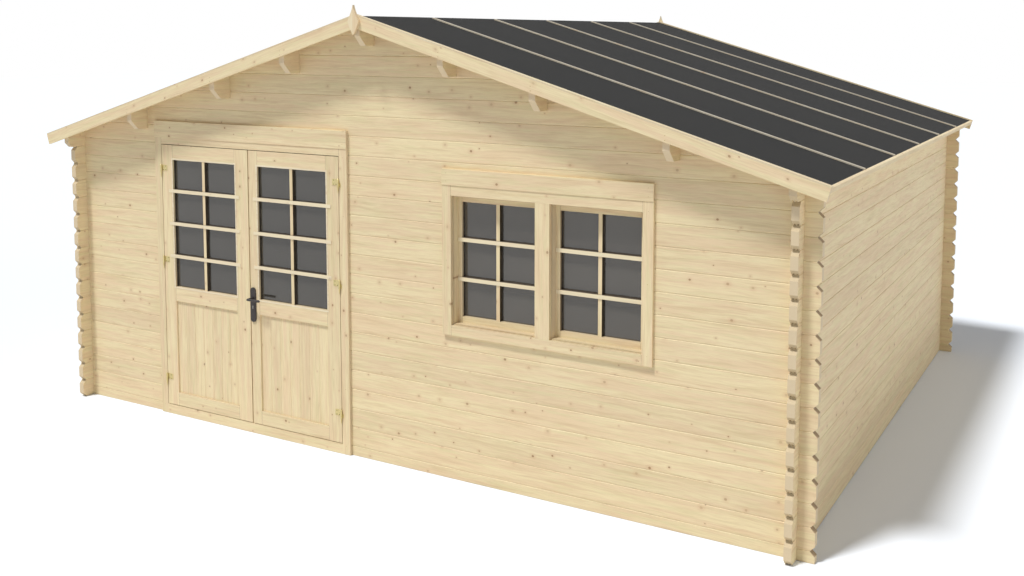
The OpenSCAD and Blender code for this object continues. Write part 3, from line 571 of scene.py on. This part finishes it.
# Door leaves: mortised frames of solid spruce with a boarded panel below and glass above.
# Glazing bars lap over the stiles, and thin beads round the glass are nailed to the face.
DOOR_ROWS = 4
PANEL_BOARDS = 7
BEAD_WIDTH = 0.012
BEAD_RISE = 0.002
BEAD_BED = 0.001  # how far a bead is let into the face
BEAD_ROUND = 0.0008
# The beads take paler tones: a painted highlight for the light on their rounded edges.
bead_spruce = spruce("bead_spruce", joined_boards(), pale=(243, 231, 202), rosy=(238, 222, 192),
                     straw=(234, 222, 190), knots=0.0)
for name, body in (("left_leaf", "left_door"), ("right_leaf", "right_door")):
    leaf_low, leaf_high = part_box(name)
    glass_low, glass_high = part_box(name + "_glass")
    leaf_face = leaf_low.y + BAR_PROUD
    middle = (glass_low.x + glass_high.x) / 2
    dress(spruce(name + "_spruce", joined_boards(
        (leaf_low.x, glass_low.x), (glass_high.x, leaf_high.x),
        (middle - BAR_WIDTH / 2, middle + BAR_WIDTH / 2, glass_low.z, glass_high.z,
         leaf_face + BAR_SET), face=leaf_face)), name)
    panel_low, panel_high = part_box(name + "_panel")
    panel_board = (panel_high.x - panel_low.x) / PANEL_BOARDS
    # The grooves between the panel boards are painted paler: painted light that lifts their shade.
    dress(spruce(name + "_panel_boards", boards_along(Z, X, panel_low.x, panel_board, seam=LOG_CHAMFER,
                                                      tone=GROOVE_LIGHT, share=0.35)), name + "_panel")
    # The door panes' grey is painted, for the dim room behind them.
    dress(pane(name + "_pane", (80, 77, 72)), name + "_glass")
    # Dark seals round the glass and behind the bars: painted shade for the shadow beside them.
    shade_seals = bmesh.new()
    shade_seal_opening(shade_seals, glass_low.x, glass_high.x, glass_low.z, glass_high.z, DOOR_ROWS, leaf_face,
                 glass_low.y)
    finish_piece(name + "_seals", shade_seals, shade_seal_brown, body)
    beads = bmesh.new()
    front, back = leaf_face - BEAD_RISE, leaf_face + BEAD_BED
    for x in (glass_low.x - BEAD_WIDTH, glass_high.x):
        block(beads, (x, front, glass_low.z - BEAD_WIDTH),
              (x + BEAD_WIDTH, back, glass_high.z + BEAD_WIDTH))
    for z in (glass_low.z - BEAD_WIDTH, glass_high.z):
        block(beads, (glass_low.x, front, z), (glass_high.x, back, z + BEAD_WIDTH))
    bmesh.ops.bevel(beads, geom=beads.edges[:], offset=BEAD_ROUND, offset_type="OFFSET", segments=2,
                    profile=0.5, affect="EDGES", material=-1)
    finish_piece(name + "_beads", beads, bead_spruce, body)

# Hinges: three pairs on each leaf, of brassed steel.
# The pin stands in a knuckle on the casing, and the leaf's knuckle drops over it.
# Three screws hold the plate on the leaf.
brass = worn_metal("pale_brass", (218, 203, 150), 0.36, shade=0.9)
brass_screw = worn_metal("brass_screw_heads", (112, 96, 62), 0.45)
dress(brass, "left_leaf_hinges", "right_leaf_hinges", "hinge_pins")
HINGE_SHARES = (0.1045, 0.5603, 0.9095)  # heights, as shares of the leaf's height
KNUCKLE = 0.007
KNUCKLE_TOP = 0.027
HINGE_PLATE = 0.0028
HINGE_SCREW_HEAD = 0.0032
SCREW_PLACES = ((0.020, 0.035), (0.042, 0.035), (0.042, 0.008))  # from the pin, below the knuckle's top
for name, body, way in (("left_leaf", "left_door", 1), ("right_leaf", "right_door", -1)):
    leaf_low, leaf_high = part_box(name)
    hinge_low, hinge_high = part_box(name + "_hinges")
    axis = (hinge_low.x if way > 0 else hinge_high.x) + way * KNUCKLE
    plate_face = leaf_low.y + BAR_PROUD - HINGE_PLATE
    screws = bmesh.new()
    for share in HINGE_SHARES:
        for reach, below in SCREW_PLACES:
            z = leaf_low.z + share * (leaf_high.z - leaf_low.z) + KNUCKLE_TOP - below
            nail_head(screws, (axis + way * reach, plate_face, z), (0, -1, 0), HINGE_SCREW_HEAD,
                      SCREW_RISE)
    finish_piece(name + "_hinge_screws", screws, brass_screw, body)

# Door handle: lever handles on long plates on both faces of the right leaf, in dark coated metal.
# Two screws hold each plate, and a steel lock cylinder stands in it below the lever.
coated = worn_metal("dark_coated_metal", (66, 62, 62), 0.42, shade=0.85, metallic=0.3)
dress(coated, "handle_plates", "door_lever")
plate_low, plate_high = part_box("handle_plates")
lever_low, lever_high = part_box("door_lever")
plate_middle = (plate_low.x + plate_high.x) / 2
lever_height = (lever_low.z + lever_high.z) / 2
PLATE_SCREW_END = 0.018
PLATE_SCREW_HEAD = 0.004
PLATE_SCREW_RISE = 0.001
LOCK_RISE = 0.003
BARREL_BELOW = 0.058
BARREL = 0.0050
FLANK_BELOW = 0.076
FLANK_HALF = 0.003
FLANK_HEIGHT = 0.020
FLANK_ROUND = 0.0028
lock = bmesh.new()
screws = bmesh.new()
flanks = []
for out, face in ((-1, plate_low.y), (1, plate_high.y)):
    for z in (plate_low.z + PLATE_SCREW_END, plate_high.z - PLATE_SCREW_END):
        nail_head(screws, (plate_middle, face, z), (0, out, 0), PLATE_SCREW_HEAD, PLATE_SCREW_RISE)
    nail_head(lock, (plate_middle, face, lever_height - BARREL_BELOW), (0, out, 0), BARREL, LOCK_RISE)
    near, far = sorted((face, face + out * LOCK_RISE))
    bottom = lever_height - FLANK_BELOW
    flanks += block(lock, (plate_middle - FLANK_HALF, near, bottom),
                    (plate_middle + FLANK_HALF, far, bottom + FLANK_HEIGHT))
# The bevel comes last, because faces made after it take another order in each run
edges = [edge for edge in lock.edges if edge.verts[0] in flanks and edge.verts[1] in flanks
         and abs(edge.verts[0].co.y - edge.verts[1].co.y) > LOCK_RISE / 2]
bmesh.ops.bevel(lock, geom=edges, offset=FLANK_ROUND, offset_type="OFFSET", segments=4,
                profile=0.5, affect="EDGES", material=-1)
finish_piece("plate_screws", screws, coated, "right_door")
steel = worn_metal("nickel_plated_steel", (176, 174, 168), 0.35)
finish_piece("lock_cylinders", lock, steel, "right_door")

# Studio: a plain white floor, a white surround for the camera and even light from all round.
# One softened lamp is high up at the front left, and a weak broad one low down at the right.
# The floor throws back a little less than it shows, and shows a little cold against warm wood.
FLOOR_HALF = 60.0
FLOOR_BELOW = 0.002
floor_shape = bmesh.new()
bmesh.ops.create_grid(floor_shape, x_segments=1, y_segments=1, size=FLOOR_HALF)
bmesh.ops.translate(floor_shape, verts=floor_shape.verts, vec=(0, 0, -FLOOR_BELOW))
floor_mesh = bpy.data.meshes.new("floor")
floor_shape.to_mesh(floor_mesh)
floor_shape.free()
floor = bpy.data.objects.new("floor", floor_mesh)
bpy.context.scene.collection.objects.link(floor)
floor_white = bpy.data.materials.new("floor_white")
floor_white.use_nodes = True
paint_tree = floor_white.node_tree
paint_shader = paint_tree.nodes["Principled BSDF"]
paint_shader.inputs["Roughness"].default_value = 1.0
paint_shader.inputs["Specular IOR Level"].default_value = 0.0
before_camera = put(paint_tree, "LightPath").outputs["Is Camera Ray"]
shown = cover(paint_tree, before_camera, (0.80, 0.80, 0.80, 1), (0.885, 0.93, 1.0, 1))
paint_tree.links.new(shown, paint_shader.inputs["Base Color"])
floor_mesh.materials.append(floor_white)

SKY_LIGHT = 0.30
HIGH_LAMP = ("high_lamp", 2.76, 9, (0.22, 0.43, -1.0))
FILL_LAMP = ("fill_lamp", 0.63, 50, (-1.0, 0.0, -0.15))
world = bpy.data.worlds.new("studio")
bpy.context.scene.world = world
world.use_nodes = True
sky = world.node_tree
sky.nodes.clear()
ray = put(sky, "LightPath").outputs
seen = calc(sky, "MAXIMUM", ray["Is Camera Ray"],
            calc(sky, "MAXIMUM", ray["Is Glossy Ray"], ray["Is Transmission Ray"]))
strength = choose(sky, seen, SKY_LIGHT, 1.0)
surround = put(sky, "Background", {"Color": (1, 1, 1, 1), "Strength": strength})
put(sky, "OutputWorld", {"Surface": surround.outputs[0]})

for name, energy, angle, way in (HIGH_LAMP, FILL_LAMP):
    light = bpy.data.lights.new(name, "SUN")
    light.energy = energy
    light.angle = math.radians(angle)
    lamp = bpy.data.objects.new(name, light)
    lamp.rotation_euler = Vector(way).to_track_quat("-Z", "Y").to_euler()
    bpy.context.scene.collection.objects.link(lamp)

# Camera: stands before the front right corner, a little below the ridge, and looks slightly down.
# Its picture is shifted, so that the uprights stay nearly upright.
CAMERA_TILT = 5.28
CAMERA_TURN = 29.99
camera_data = bpy.data.cameras.new("camera")
camera_data.sensor_width = 36.0
camera_data.lens = 39.02
camera_data.shift_y = -0.148
camera = bpy.data.objects.new("camera", camera_data)
camera.location = (4.457, -8.253, 2.890)
camera.rotation_euler = (math.radians(90 - CAMERA_TILT), 0, math.radians(CAMERA_TURN))
bpy.context.scene.collection.objects.link(camera)
bpy.context.scene.camera = camera
bpy.context.scene.view_settings.view_transform = "Standard"
